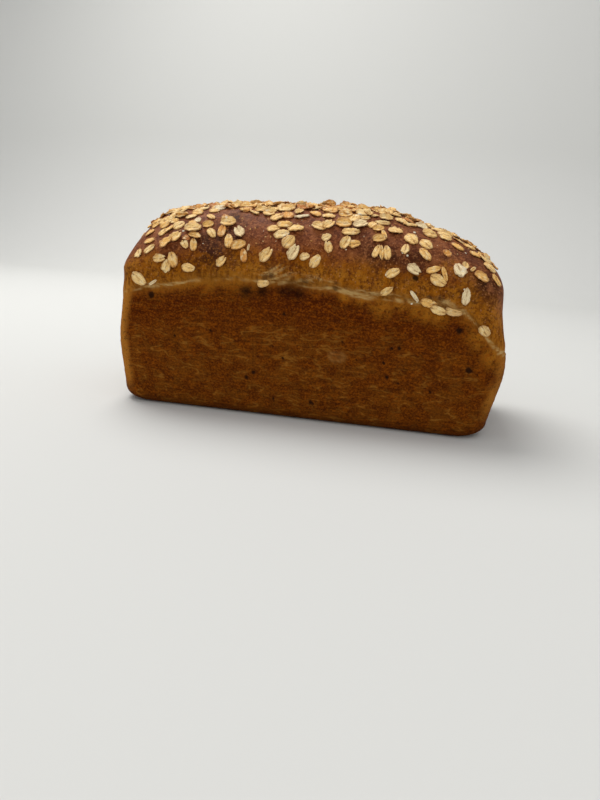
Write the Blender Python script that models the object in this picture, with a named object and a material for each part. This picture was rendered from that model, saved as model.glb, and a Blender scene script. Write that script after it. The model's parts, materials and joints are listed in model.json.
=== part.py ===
"""Sourdough sandwich loaf with an oat-flake crust, baked in a tin and left whole.

Metres, +Z up.  The flat base lies on Z = 0 with the origin at its middle.  X runs along the loaf
and +Y points to its back.  Below the tear line the crust has the tin's upright sides; above it the
crown is domed, with rolled oat flakes baked on to it.  Crust and flakes are one closed piece.
"""
import math
import random

import bmesh
import bpy
import numpy as np
from mathutils import Matrix, Vector
from mathutils.bvhtree import BVHTree

# The loaf as the tin shaped it
BASE_LENGTH = 0.238
BASE_WIDTH = 0.102
BASE_EDGE_RADIUS = 0.008
END_FLARE = (0.143, 0.178)
FLARE_HEIGHT = (0.043, 0.045)
END_DRAW_IN = (0.0076, 0.0077)
END_SOFTENING = 0.009
SIDE_FLARE = 0.02
SIDE_FLARE_TOP = 0.080
CORNER_ALONG = 0.0152
CORNER_ACROSS = 0.018

# The crown that rose above the tin
CROWN_HEIGHT = 0.1325
SPRING_HEIGHT = 0.087
SIDE_SWELL = 0.0015
END_ROUNDNESS = (3.2, 2.06)
SIDE_ROUNDNESS = 2.1
CROWN_CORNER_SHARE = 0.8
SHOULDER_EASE = 0.12
CROWN_SHIFT = 0.005

# The tear line between the two, higher on the left of the middle and low at both ends
TEAR_HEIGHT = 0.0863
TEAR_PEAK = -0.030
TEAR_FALL = (0.0135, 0.0110)
TEAR_FALL_POWER = 1.4
END_TEAR_FALL = (0.004, 0.021)
END_TEAR_START = (0.90, 0.80)
END_TEAR_FULL = 1.03
BROAD_RIPPLE = 0.0006
FINE_RIPPLE = 0.0004
TEAR_DEPTH = 0.0016
TEAR_WIDTH = 0.0016
LIP_DEPTH = 0.0011
LIP_RISE = 0.0045
LIP_WIDTH = 0.0035
TEAR_UNEVENNESS = 0.25
END_TEAR_CALM = 0.75
CALM_FROM = 0.90
CALM_TO = 0.98

# Unevenness of the crust: low waves, and swellings and dents given by place, radius and height
WAVE_DEPTH = 0.0005
FINE_WAVE_SHARE = 0.6
FLAT_BELOW = 0.002
UNEVEN_ABOVE = 0.012
UNEVEN_SPOTS = (((-0.060, -0.042, 0.110), 0.017, -0.0024),
                ((0.040, 0.000, 0.131), 0.026, 0.0026),
                ((0.068, 0.000, 0.125), 0.014, -0.0016),
                ((0.100, -0.005, 0.112), 0.020, 0.0006),
                ((-0.098, -0.012, 0.119), 0.020, 0.0018),
                ((-0.119, -0.025, 0.093), 0.016, -0.0010),
                ((-0.120, -0.040, 0.078), 0.022, 0.0016),
                ((0.126, -0.010, 0.062), 0.030, 0.0018))

# The oat flakes that stand out most
FLAKE_COUNT = 136
FLAKE_LENGTH = (0.0078, 0.0098)
FLAKE_WIDTH_SHARE = (0.60, 0.74)
FLAKE_THICKNESS = 0.0016
FLAKE_RIM_SHARE = 0.84
FLAKE_SIDES = 7
FLAKE_RAGGEDNESS = 0.06
FLAKE_GAP = 0.0088
FLAKE_TOP = 0.0012
FLAKE_TILT = 14
FLAKE_PROPPING = 0.125
EDGE_FLAKE_SHARE = 0.08
EDGE_FLAKE_TILT = 52
EDGE_FLAKE_SLOPE = 0.6
BARE_BELOW = 0.096
COVERED_ABOVE = 0.122
BARE_SPOT = (-0.054, -0.036, 0.119)
BARE_SPOT_RADIUS = 0.014
FARTHEST_LEAN = 1.6
SEED = 4

# Finishes
CRUST_COLOUR = (0.13, 0.045, 0.012)
CRUST_ROUGHNESS = 0.55
OAT_COLOUR = (0.50, 0.32, 0.14)
OAT_ROUGHNESS = 0.8
SMOOTH_ANGLE = 40

# The mesh of the crust
COLUMNS = 36
DEEP_COLUMNS = 14
ROWS_BELOW_TEAR = 9
ROWS_ABOVE_TEAR = 6
TOP_ROW_HEIGHT = 0.112
EDGE_CROWDING = 1.25
ROW_CROWDING = 1.5
CORE_HALF_LENGTH = 0.070
CORE_HEIGHT = 0.060
HALVINGS = 30
SOFTENING_STEPS = (-1.0, -0.5, 0.0, 0.5, 1.0)
SMALLEST_ROUNDING = 0.000001
FLOOR_MARGIN = 0.00001
WELD_DISTANCE = 0.00002


def smooth_step(low, high, value):
    t = np.clip((value - low) / (high - low), 0.0, 1.0)
    return t * t * (3.0 - 2.0 * t)


def half_lengths(height):
    """The loaf's reach to the left and to the right of the origin at a height, its bends softened."""
    reach = []
    for flare, top, draw_in in zip(END_FLARE, FLARE_HEIGHT, END_DRAW_IN):
        total = 0.0
        for step in SOFTENING_STEPS:
            level = height + step * END_SOFTENING
            drawn = np.clip((level - top) / (SPRING_HEIGHT - top), 0.0, 1.0)
            total = total + flare * np.minimum(level, top) - draw_in * np.sin(drawn * math.pi / 2)
        reach.append(BASE_LENGTH / 2 + total / len(SOFTENING_STEPS))
    return reach


def is_inside(x, y, z):
    """True where a point lies inside the plain loaf, before its unevenness."""
    height = np.clip(z, 0.0, CROWN_HEIGHT)
    left, right = half_lengths(height)
    swell = np.clip((height - SIDE_FLARE_TOP) / (SPRING_HEIGHT - SIDE_FLARE_TOP), 0.0, 1.0)
    across = BASE_WIDTH / 2 + SIDE_FLARE * np.minimum(height, SIDE_FLARE_TOP) + SIDE_SWELL * swell
    foot = np.clip(1.0 - height / BASE_EDGE_RADIUS, 0.0, 1.0)
    tuck = BASE_EDGE_RADIUS * (1.0 - np.sqrt(1.0 - foot ** 2))
    rise = np.clip((height - SPRING_HEIGHT) / (CROWN_HEIGHT - SPRING_HEIGHT), 0.0, 1.0)
    left = (left - tuck) * (1.0 - rise ** END_ROUNDNESS[0]) ** (1.0 / END_ROUNDNESS[0])
    right = (right - tuck) * (1.0 - rise ** END_ROUNDNESS[1]) ** (1.0 / END_ROUNDNESS[1])
    across = (across - tuck) * (1.0 - rise ** SIDE_ROUNDNESS) ** (1.0 / SIDE_ROUNDNESS)
    along = np.where(x < 0.0, left, right)
    widening = rise ** 2 * (1.0 + SHOULDER_EASE) / (rise + SHOULDER_EASE)
    corner_along = CORNER_ALONG + (CROWN_CORNER_SHARE * np.minimum(left, right) - CORNER_ALONG) * widening
    corner_across = CORNER_ACROSS + (across - CORNER_ACROSS) * widening
    corner_along = np.maximum(np.minimum(corner_along, along), SMALLEST_ROUNDING)
    corner_across = np.maximum(np.minimum(corner_across, across), SMALLEST_ROUNDING)
    past_along = np.maximum(np.abs(x) - along + corner_along, 0.0) / corner_along
    past_across = np.maximum(np.abs(y - CROWN_SHIFT * rise) - across + corner_across, 0.0) / corner_across
    return (past_along ** 2 + past_across ** 2 <= 1.0) & (z >= 0.0) & (z <= CROWN_HEIGHT)


def tear_height(x, y):
    """Height of the tear line: it sags towards both ends and drops on the end faces."""
    left, right = half_lengths(TEAR_HEIGHT)
    away = x - TEAR_PEAK
    share = np.where(away < 0.0, -away / (left + TEAR_PEAK), away / (right - TEAR_PEAK))
    fall = np.where(away < 0.0, *TEAR_FALL) * np.clip(share, 0.0, 1.0) ** TEAR_FALL_POWER
    end_share = np.abs(x) / np.where(x < 0.0, left, right)
    round_end = smooth_step(np.where(x < 0.0, *END_TEAR_START), END_TEAR_FULL, end_share)
    end_fall = round_end * np.where(x < 0.0, *END_TEAR_FALL)
    ripple = BROAD_RIPPLE * np.sin(x * 95.0 + 1.0) + FINE_RIPPLE * np.sin(x * 210.0 + y * 60.0)
    return TEAR_HEIGHT - fall - end_fall + ripple


def on_crust(aim):
    """Pull points from the loaf's core through their aims on to the plain loaf's surface."""
    core = np.zeros_like(aim)
    core[:, 0] = np.clip(aim[:, 0], -CORE_HALF_LENGTH, CORE_HALF_LENGTH)
    core[:, 2] = CORE_HEIGHT
    ray = aim - core
    near = np.zeros(len(aim))
    far = np.full(len(aim), 3.0)
    for _ in range(HALVINGS):
        middle = (near + far) / 2
        point = core + ray * middle[:, None]
        inside = is_inside(point[:, 0], point[:, 1], point[:, 2])
        near = np.where(inside, middle, near)
        far = np.where(inside, far, middle)
    return core + ray * near[:, None]


def relief(point):
    """How far the crust stands out from the plain loaf at each point."""
    x, y, z = point[:, 0], point[:, 1], point[:, 2]
    above = z - tear_height(x, y)
    wave = np.sin(x * 41.0 + 1.3) * np.sin(y * 63.0 + z * 30.0)
    wave = wave + FINE_WAVE_SHARE * np.sin(x * 88.0 + z * 70.0 + 0.4)
    left, right = half_lengths(TEAR_HEIGHT)
    end_share = np.abs(x) / np.where(x < 0.0, left, right)
    strength = 1.0 - TEAR_UNEVENNESS * (1.0 - np.sin(x * 130.0 + y * 90.0))
    strength = strength * (1.0 - END_TEAR_CALM * smooth_step(CALM_FROM, CALM_TO, end_share))
    groove = TEAR_DEPTH * strength * np.exp(-(above / TEAR_WIDTH) ** 2)
    lip = LIP_DEPTH * strength * np.exp(-((above - LIP_RISE) / LIP_WIDTH) ** 2)
    height = WAVE_DEPTH * wave + lip - groove
    for place, radius, rise in UNEVEN_SPOTS:
        off = np.linalg.norm(point - np.array(place), axis=1)
        height = height + rise * np.exp(-(off / radius) ** 2)
    return height * smooth_step(FLAT_BELOW, UNEVEN_ABOVE, z)


def row_height(step, tear):
    """Height of a row of the mesh: rows crowd at the foot and on both sides of the tear line."""
    below = ROWS_BELOW_TEAR / (ROWS_BELOW_TEAR + ROWS_ABOVE_TEAR)
    lower = tear * (1.0 - np.cos(math.pi * np.minimum(step / below, 1.0))) / 2
    upper = np.clip((step - below) / (1.0 - below), 0.0, 1.0) ** ROW_CROWDING * (TOP_ROW_HEIGHT - tear)
    return lower + upper


def named_material(name, colour, roughness):
    material = bpy.data.materials.new(name)
    material.use_nodes = True
    shader = material.node_tree.nodes["Principled BSDF"]
    shader.inputs["Base Color"].default_value = (*colour, 1.0)
    shader.inputs["Roughness"].default_value = roughness
    shader.inputs["Metallic"].default_value = 0.0
    material.diffuse_color = (*colour, 1.0)
    return material


def place_object(name, mesh, collection):
    thing = bpy.data.objects.new(name, mesh)
    collection.objects.link(thing)
    return thing


def crust_mesh(material):
    """A box cut into a grid, each of its points pulled on to the loaf's surface."""
    grid = bmesh.new()
    bmesh.ops.create_cube(grid, size=2.0)
    for axis, cells in enumerate((COLUMNS, DEEP_COLUMNS, ROWS_BELOW_TEAR + ROWS_ABOVE_TEAR)):
        edges = [e for e in grid.edges if abs(e.verts[0].co[axis] - e.verts[1].co[axis]) > 1.0]
        bmesh.ops.subdivide_edges(grid, edges=edges, cuts=cells - 1, use_grid_fill=True)
    box = np.array([v.co for v in grid.verts])
    spread = np.sin(box[:, :2] * EDGE_CROWDING) / math.sin(EDGE_CROWDING)
    left, right = half_lengths(SPRING_HEIGHT)
    aim = np.empty_like(box)
    aim[:, 0] = spread[:, 0] * np.where(box[:, 0] < 0.0, left, right)
    aim[:, 1] = spread[:, 1] * BASE_WIDTH / 2
    aim[:, 2] = row_height((box[:, 2] + 1.0) / 2, tear_height(aim[:, 0], aim[:, 1]))
    for vert, place in zip(grid.verts, on_crust(aim)):
        vert.co = place
    floor_faces = [f for f in grid.faces if all(v.co.z < FLOOR_MARGIN for v in f.verts)]
    bmesh.ops.dissolve_faces(grid, faces=floor_faces, use_verts=True)
    grid.normal_update()
    places = np.array([v.co for v in grid.verts])
    outward = np.array([v.normal for v in grid.verts])
    for vert, place in zip(grid.verts, places + outward * relief(places)[:, None]):
        vert.co = place
        if vert.co.z < FLOOR_MARGIN:
            vert.co.z = 0.0
    mesh = bpy.data.meshes.new("loaf")
    grid.to_mesh(mesh)
    grid.free()
    mesh.materials.append(material)
    mesh.shade_smooth()
    mesh.set_sharp_from_angle(angle=math.radians(SMOOTH_ANGLE))
    return mesh


def drawn_flake(chance):
    """All that chance decides about one flake: where it fell, its size and how it lies."""
    return {"along": chance.uniform(-1.0, 1.0),
            "lean": chance.uniform(-FARTHEST_LEAN, FARTHEST_LEAN),
            "luck": chance.random(),
            "length": chance.uniform(*FLAKE_LENGTH),
            "width_share": chance.uniform(*FLAKE_WIDTH_SHARE),
            "turn": chance.uniform(0.0, math.tau),
            "tilt": math.radians(chance.uniform(0.0, FLAKE_TILT)),
            "edge": chance.random()}


def flakes_on(crust, chance):
    """Flakes with their places: thick on the crown, thinning down its slopes, evenly apart."""
    surface = BVHTree.FromPolygons([v.co for v in crust.vertices], [p.vertices[:] for p in crust.polygons])
    reach = half_lengths(SPRING_HEIGHT)
    chosen = []
    while len(chosen) < FLAKE_COUNT:
        flake = drawn_flake(chance)
        x = flake["along"] * reach[flake["along"] > 0.0]
        core = Vector((min(max(x, -CORE_HALF_LENGTH), CORE_HALF_LENGTH), 0.0, CORE_HEIGHT))
        sideways = BASE_WIDTH / 2 * math.sin(flake["lean"])
        upwards = BASE_WIDTH / 2 * math.cos(flake["lean"])
        place, outward, _, _ = surface.ray_cast(core, Vector((x - core.x, sideways, upwards)).normalized())
        if flake["luck"] > smooth_step(BARE_BELOW, COVERED_ABOVE, place.z):
            continue
        if (place - Vector(BARE_SPOT)).length < BARE_SPOT_RADIUS:
            continue
        if any((place - other["place"]).length < FLAKE_GAP for other in chosen):
            continue
        if flake["edge"] < EDGE_FLAKE_SHARE and outward.z > EDGE_FLAKE_SLOPE:
            flake["tilt"] = math.radians(EDGE_FLAKE_TILT)
        flake.update(place=place, outward=outward)
        chosen.append(flake)
    return chosen


def oat_flake(name, flake, chance, material, collection):
    """One rolled oat flake: a thin oval with a sloping rim, lying on the crust or stood on edge."""
    shape = bmesh.new()
    bmesh.ops.create_cone(shape, cap_ends=True, segments=FLAKE_SIDES, radius1=0.5,
                          radius2=0.5 * FLAKE_RIM_SHARE, depth=FLAKE_THICKNESS)
    width = flake["length"] * flake["width_share"]
    for vert in shape.verts:
        vert.co.x *= flake["length"] * (1.0 + chance.uniform(-FLAKE_RAGGEDNESS, FLAKE_RAGGEDNESS))
        vert.co.y *= width * (1.0 + chance.uniform(-FLAKE_RAGGEDNESS, FLAKE_RAGGEDNESS))
    lift = FLAKE_TOP - FLAKE_THICKNESS / 2 + math.sin(flake["tilt"]) * width * FLAKE_PROPPING
    lie = flake["outward"].to_track_quat("Z", "Y").to_matrix().to_4x4()
    spin = Matrix.Rotation(flake["turn"], 4, "Z") @ Matrix.Rotation(flake["tilt"], 4, "X")
    shape.transform(Matrix.Translation(flake["place"] + flake["outward"] * lift) @ lie @ spin)
    bmesh.ops.triangulate(shape, faces=shape.faces)
    mesh = bpy.data.meshes.new(name)
    shape.to_mesh(mesh)
    shape.free()
    mesh.materials.append(material)
    return place_object(name, mesh, collection)


def fuse(body, pieces):
    """Join the pieces to the body in one closed solid, then remove them."""
    union = body.modifiers.new("bake flakes on", "BOOLEAN")
    union.operation = "UNION"
    union.solver = "MANIFOLD"
    union.operand_type = "COLLECTION"
    union.collection = pieces
    bpy.context.view_layer.update()
    graph = bpy.context.evaluated_depsgraph_get()
    whole = bpy.data.meshes.new_from_object(body.evaluated_get(graph), depsgraph=graph)
    body.modifiers.clear()
    body.data = whole
    for piece in list(pieces.objects):
        bpy.data.objects.remove(piece)
    bpy.data.collections.remove(pieces)
    shape = bmesh.new()
    shape.from_mesh(whole)
    bmesh.ops.remove_doubles(shape, verts=shape.verts, dist=WELD_DISTANCE)
    bmesh.ops.dissolve_degenerate(shape, edges=shape.edges, dist=WELD_DISTANCE)
    bmesh.ops.triangulate(shape, faces=shape.faces)
    shape.to_mesh(whole)
    shape.free()


def main():
    for thing in list(bpy.data.objects):
        bpy.data.objects.remove(thing)
    chance = random.Random(SEED)
    scene = bpy.context.scene.collection
    loaf_parts = bpy.data.collections.new("sourdough sandwich loaf")
    loose_flakes = bpy.data.collections.new("loose oat flakes")
    scene.children.link(loaf_parts)
    scene.children.link(loose_flakes)
    crust = named_material("browned crust", CRUST_COLOUR, CRUST_ROUGHNESS)
    oats = named_material("toasted oats", OAT_COLOUR, OAT_ROUGHNESS)
    loaf = place_object("loaf", crust_mesh(crust), loaf_parts)
    for number, flake in enumerate(flakes_on(loaf.data, chance)):
        oat_flake(f"flake_{number}", flake, chance, oats, loose_flakes)
    fuse(loaf, loose_flakes)


main()
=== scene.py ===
import json
import math
import random

import bmesh
import bpy
import numpy as np
from mathutils import Matrix, Vector, noise
from mathutils.bvhtree import BVHTree

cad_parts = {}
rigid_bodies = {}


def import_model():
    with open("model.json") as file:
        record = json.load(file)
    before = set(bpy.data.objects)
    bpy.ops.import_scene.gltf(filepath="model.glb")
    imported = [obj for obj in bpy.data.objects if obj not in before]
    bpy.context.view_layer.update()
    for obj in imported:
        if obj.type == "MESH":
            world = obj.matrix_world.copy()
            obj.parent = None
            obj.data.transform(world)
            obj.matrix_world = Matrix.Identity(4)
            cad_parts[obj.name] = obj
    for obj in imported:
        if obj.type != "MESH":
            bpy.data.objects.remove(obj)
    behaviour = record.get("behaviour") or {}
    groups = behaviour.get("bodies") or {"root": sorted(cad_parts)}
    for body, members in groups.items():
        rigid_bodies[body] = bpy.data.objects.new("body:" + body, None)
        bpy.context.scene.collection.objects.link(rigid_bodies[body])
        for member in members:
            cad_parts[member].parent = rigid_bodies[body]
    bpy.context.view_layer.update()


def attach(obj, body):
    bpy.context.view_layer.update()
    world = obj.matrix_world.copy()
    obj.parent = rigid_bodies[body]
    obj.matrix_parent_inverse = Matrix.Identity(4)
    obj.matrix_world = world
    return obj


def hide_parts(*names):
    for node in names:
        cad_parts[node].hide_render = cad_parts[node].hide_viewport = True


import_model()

# The view: a camera held a little above the crown's height, turned a little to the left of the
# loaf's long side, dipped down and tilted, as found from the loaf's outline and its cut section.
CAMERA_PLACE = Vector((0.0724, -0.4112, 0.1155))
CAMERA_TURN = -0.186
CAMERA_DIP = 0.271
CAMERA_ROLL = 0.062
FOCAL_PIXELS = 603.0
PICTURE_WIDTH = 600
PICTURE_HEIGHT = 800
SENSOR_MM = 36.0
NEAREST_SEEN = 0.01

look = Vector((math.sin(CAMERA_TURN) * math.cos(CAMERA_DIP), math.cos(CAMERA_TURN) * math.cos(CAMERA_DIP),
               -math.sin(CAMERA_DIP)))
level = Vector((math.cos(CAMERA_TURN), -math.sin(CAMERA_TURN), 0.0))
upright = level.cross(look)
camera_right = level * math.cos(CAMERA_ROLL) + upright * math.sin(CAMERA_ROLL)
camera_up = upright * math.cos(CAMERA_ROLL) - level * math.sin(CAMERA_ROLL)


def add_piece(name, data):
    """An object of its own in the scene."""
    piece = bpy.data.objects.new(name, data)
    bpy.context.scene.collection.objects.link(piece)
    return piece


camera_data = bpy.data.cameras.new("camera")
camera_data.sensor_width = SENSOR_MM
camera_data.lens = FOCAL_PIXELS / PICTURE_HEIGHT * SENSOR_MM
camera_data.clip_start = NEAREST_SEEN
camera = add_piece("camera", camera_data)
camera.matrix_world = Matrix.Translation(CAMERA_PLACE) @ Matrix(
    (camera_right, camera_up, -look)).transposed().to_4x4()
bpy.context.scene.camera = camera


def sight_line(column, row):
    """The direction in which the camera sees a place of the picture."""
    across = (column - PICTURE_WIDTH / 2) / FOCAL_PIXELS
    down = (row - PICTURE_HEIGHT / 2) / FOCAL_PIXELS
    return (look + camera_right * across - camera_up * down).normalized()


# The crust: sourdough proved and baked in a deep tin until brown. The tin's walls pressed the sides
# flat and wrinkled them; above its rim the dough rose free, tore along one line all round and
# browned darker, with a pale stretched shred along the tear. It is one skin over the whole loaf.
BASE_LENGTH = 0.238
BASE_WIDTH = 0.102
BASE_EDGE_RADIUS = 0.008
END_FLARE = (0.143, 0.178)
FLARE_HEIGHT = (0.043, 0.045)
END_DRAW_IN = (0.0076, 0.0077)
END_SOFTENING = 0.009
SIDE_FLARE = 0.02
SIDE_FLARE_TOP = 0.080
CORNER_ALONG = 0.0152
CORNER_ACROSS = 0.018

# The crown that rose above the tin
CROWN_HEIGHT = 0.1325
SPRING_HEIGHT = 0.087
SIDE_SWELL = 0.0015
END_ROUNDNESS = (3.2, 2.06)
SIDE_ROUNDNESS = 2.1
CROWN_CORNER_SHARE = 0.8
SHOULDER_EASE = 0.12
CROWN_SHIFT = 0.005

# The tear line between the two, higher on the left of the middle and low at both ends
TEAR_HEIGHT = 0.0863
TEAR_PEAK = -0.030
TEAR_FALL = (0.0135, 0.0110)
TEAR_FALL_POWER = 1.4
END_TEAR_FALL = (0.004, 0.021)
END_TEAR_START = (0.90, 0.80)
END_TEAR_FULL = 1.03
BROAD_RIPPLE = 0.0006
FINE_RIPPLE = 0.0004
TEAR_DEPTH = 0.0016
TEAR_WIDTH = 0.0016
LIP_DEPTH = 0.0011
LIP_RISE = 0.0045
LIP_WIDTH = 0.0035
TEAR_UNEVENNESS = 0.25
END_TEAR_CALM = 0.75
CALM_FROM = 0.90
CALM_TO = 0.98

# Unevenness: low waves, and swellings and dents given by place, radius and height
WAVE_DEPTH = 0.0005
FINE_WAVE_SHARE = 0.6
FLAT_BELOW = 0.002
UNEVEN_ABOVE = 0.012
UNEVEN_SPOTS = (((-0.060, -0.042, 0.110), 0.017, -0.0024),
                ((0.040, 0.000, 0.131), 0.026, 0.0026),
                ((0.068, 0.000, 0.125), 0.014, -0.0016),
                ((0.100, -0.005, 0.112), 0.020, 0.0006),
                ((-0.098, -0.012, 0.119), 0.020, 0.0018),
                ((-0.119, -0.025, 0.093), 0.016, -0.0010),
                ((-0.120, -0.040, 0.078), 0.022, 0.0016),
                ((0.126, -0.010, 0.062), 0.030, 0.0018))

# The mesh of the crust
TOP_ROW_HEIGHT = 0.112
EDGE_CROWDING = 1.25
TEAR_CROWDING = 0.45
RIM_CROWDING = 0.4
CORE_HALF_LENGTH = 0.070
CORE_HEIGHT = 0.060
HALVINGS = 30
SOFTENING_STEPS = (-1.0, -0.5, 0.0, 0.5, 1.0)
SMALLEST_ROUNDING = 0.000001
COLUMNS = 196
DEEP_COLUMNS = 78
ROWS_BELOW_TEAR = 66
ROWS_ABOVE_TEAR = 46

# The stretched shreds in the tear, and how far they show along it from left to right
SHRED_DEPTH = 0.0010
SHRED_PATCHES = (((-0.014, -0.053, 0.0905), (0.015, 0.020, 0.0062)),
                 ((0.008, -0.053, 0.0885), (0.016, 0.020, 0.0040)),
                 ((0.048, -0.053, 0.0835), (0.020, 0.020, 0.0030)),
                 ((0.082, -0.053, 0.0815), (0.018, 0.020, 0.0046)))
SHRED_WIDTH = 0.0021
SHRED_FRAY = 0.0014
NARROWEST_SHRED = 0.0008
SHRED_ALONG = (-0.125, -0.105, -0.085, -0.075, -0.058, -0.045, -0.030, -0.020, 0.0,
               0.015, 0.025, 0.045, 0.055, 0.066, 0.072, 0.095, 0.108, 0.125)
SHRED_STRENGTH = (0.55, 0.65, 0.85, 0.85, 0.45, 0.50, 0.60, 1.0, 0.70,
                  0.65, 1.0, 1.0, 0.70, 0.80, 0.70, 1.0, 0.70, 0.80)

# The skin: wrinkles from the tin, grain on the crown, pits, one blister, and scorched and golden
# places at the back by middle and radius
WRINKLE_DEPTH = 0.00016
WRINKLE_DRIFT = 0.0045
GRAIN_DEPTH = 0.00022
BACK_SCORCHES = (((-0.090, 0.030, 0.118), 0.016),
                 ((0.030, 0.044, 0.110), 0.014))
BACK_GOLDENS = (((-0.070, 0.052, 0.092), 0.018),
                ((0.040, 0.052, 0.096), 0.022))
PIT_COUNT = 120
PIT_RADIUS = (0.0004, 0.0009)
PIT_REACH = 0.12
PIT_OUT = 0.052
PIT_HEIGHTS = (0.006, 0.076)
PIT_STRENGTHS = (0.2, 0.8)
PIT_DEPTH = 0.0006
BLISTER_PLACE = (0.026, -0.0512, 0.0435)
BLISTER_REACH = (0.0047, 0.0047, 0.0026)
BLISTER_RISE = 0.00025
CRUST_SEED = 11
ZONE_LOW = -60.0
ZONE_HIGH = 40.0

# Scorched places that show on the front, some of them painted shade between the flakes and in the
# tear's dark hollow, and golden places; then its pits, partly painted shade, and the painted shade of the
# dark hollows in its tear: column and row in the picture, radius in millimetres
FRONT_SCORCHES_AND_SHADE = ((206, 239, 10), (211, 250, 13), (236, 215, 7), (374, 252, 10), (394, 251, 10),
                  (416, 254, 9), (488, 284, 10), (236, 238, 4), (229, 227, 3), (283, 292, 4),
                  (290, 291, 5), (298, 293, 5), (262, 291, 4), (246, 291, 4))
FRONT_GOLDENS = ((152, 276, 10), (150, 264, 8), (134, 266, 8), (176, 280, 7), (206, 279, 8), (222, 272, 10),
                 (240, 270, 13), (258, 268, 9), (318, 272, 8), (342, 273, 9), (362, 276, 10), (385, 282, 9),
                 (410, 285, 7), (425, 292, 7), (488, 312, 10), (497, 330, 10), (480, 338, 7), (492, 356, 7),
                 (455, 294, 6), (474, 300, 10), (470, 282, 8), (452, 268, 7), (130, 276, 6), (492, 318, 8),
                 (186, 284, 5), (204, 278, 6), (196, 281, 5), (345, 297, 4), (362, 299, 4), (378, 303, 6),
                 (384, 308, 6), (400, 305, 5), (418, 311, 5), (440, 317, 5), (426, 314, 5), (470, 309, 7),
                 (476, 316, 5))
FRONT_PITS = ((151.6, 294.8, 2.2), (283.6, 314.0, 1.2), (272.2, 346.4, 0.9), (282.2, 357.9, 1.1),
              (253.5, 372.3, 1.6), (246.3, 377.5, 1.4), (273.0, 399.0, 1.3), (310.9, 402.4, 1.7),
              (391.5, 348.4, 1.1), (399.5, 348.4, 1.3), (423.3, 353.7, 0.8), (383.9, 362.9, 1.0),
              (355.7, 359.5, 0.8), (387.2, 377.8, 1.3), (398.4, 382.8, 0.8), (459.5, 330.5, 2.0),
              (468.8, 370.3, 2.0), (174.6, 335.8, 0.9), (210.5, 330.6, 0.7),
              (415.3, 278.2, 1.7), (343.0, 342.0, 0.7), (225.0, 345.0, 0.7), (430.0, 392.0, 0.9))
FRONT_HOLLOW_SHADES = ((264.5, 277.2, 2.2), (305.0, 280.0, 2.2), (335.3, 288.6, 1.8), (336.0, 282.6, 1.4),
                 (431.5, 296.2, 2.4), (441.0, 298.0, 1.8), (271.0, 276.0, 2.0))


def smooth_step(low, high, value):
    t = np.clip((value - low) / (high - low), 0.0, 1.0)
    return t * t * (3.0 - 2.0 * t)


def half_lengths(height):
    """The loaf's reach to the left and to the right of the origin at a height, its bends softened."""
    reach = []
    for flare, top, draw_in in zip(END_FLARE, FLARE_HEIGHT, END_DRAW_IN):
        total = 0.0
        for step in SOFTENING_STEPS:
            layer = height + step * END_SOFTENING
            drawn = np.clip((layer - top) / (SPRING_HEIGHT - top), 0.0, 1.0)
            total = total + flare * np.minimum(layer, top) - draw_in * np.sin(drawn * math.pi / 2)
        reach.append(BASE_LENGTH / 2 + total / len(SOFTENING_STEPS))
    return reach


def is_inside(x, y, z):
    """True where a point lies inside the plain loaf, before its unevenness."""
    height = np.clip(z, 0.0, CROWN_HEIGHT)
    left, right = half_lengths(height)
    swell = np.clip((height - SIDE_FLARE_TOP) / (SPRING_HEIGHT - SIDE_FLARE_TOP), 0.0, 1.0)
    across = BASE_WIDTH / 2 + SIDE_FLARE * np.minimum(height, SIDE_FLARE_TOP) + SIDE_SWELL * swell
    foot = np.clip(1.0 - height / BASE_EDGE_RADIUS, 0.0, 1.0)
    tuck = BASE_EDGE_RADIUS * (1.0 - np.sqrt(1.0 - foot ** 2))
    rise = np.clip((height - SPRING_HEIGHT) / (CROWN_HEIGHT - SPRING_HEIGHT), 0.0, 1.0)
    left = (left - tuck) * (1.0 - rise ** END_ROUNDNESS[0]) ** (1.0 / END_ROUNDNESS[0])
    right = (right - tuck) * (1.0 - rise ** END_ROUNDNESS[1]) ** (1.0 / END_ROUNDNESS[1])
    across = (across - tuck) * (1.0 - rise ** SIDE_ROUNDNESS) ** (1.0 / SIDE_ROUNDNESS)
    along = np.where(x < 0.0, left, right)
    widening = rise ** 2 * (1.0 + SHOULDER_EASE) / (rise + SHOULDER_EASE)
    corner_along = CORNER_ALONG + (CROWN_CORNER_SHARE * np.minimum(left, right) - CORNER_ALONG) * widening
    corner_across = CORNER_ACROSS + (across - CORNER_ACROSS) * widening
    corner_along = np.maximum(np.minimum(corner_along, along), SMALLEST_ROUNDING)
    corner_across = np.maximum(np.minimum(corner_across, across), SMALLEST_ROUNDING)
    past_along = np.maximum(np.abs(x) - along + corner_along, 0.0) / corner_along
    past_across = np.maximum(np.abs(y - CROWN_SHIFT * rise) - across + corner_across, 0.0) / corner_across
    return (past_along ** 2 + past_across ** 2 <= 1.0) & (z >= 0.0) & (z <= CROWN_HEIGHT)


def tear_height(x, y):
    """Height of the tear line: it sags towards both ends and drops on the end faces."""
    left, right = half_lengths(TEAR_HEIGHT)
    away = x - TEAR_PEAK
    share = np.where(away < 0.0, -away / (left + TEAR_PEAK), away / (right - TEAR_PEAK))
    fall = np.where(away < 0.0, *TEAR_FALL) * np.clip(share, 0.0, 1.0) ** TEAR_FALL_POWER
    end_share = np.abs(x) / np.where(x < 0.0, left, right)
    round_end = smooth_step(np.where(x < 0.0, *END_TEAR_START), END_TEAR_FULL, end_share)
    end_fall = round_end * np.where(x < 0.0, *END_TEAR_FALL)
    ripple = BROAD_RIPPLE * np.sin(x * 95.0 + 1.0) + FINE_RIPPLE * np.sin(x * 210.0 + y * 60.0)
    return TEAR_HEIGHT - fall - end_fall + ripple


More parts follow.
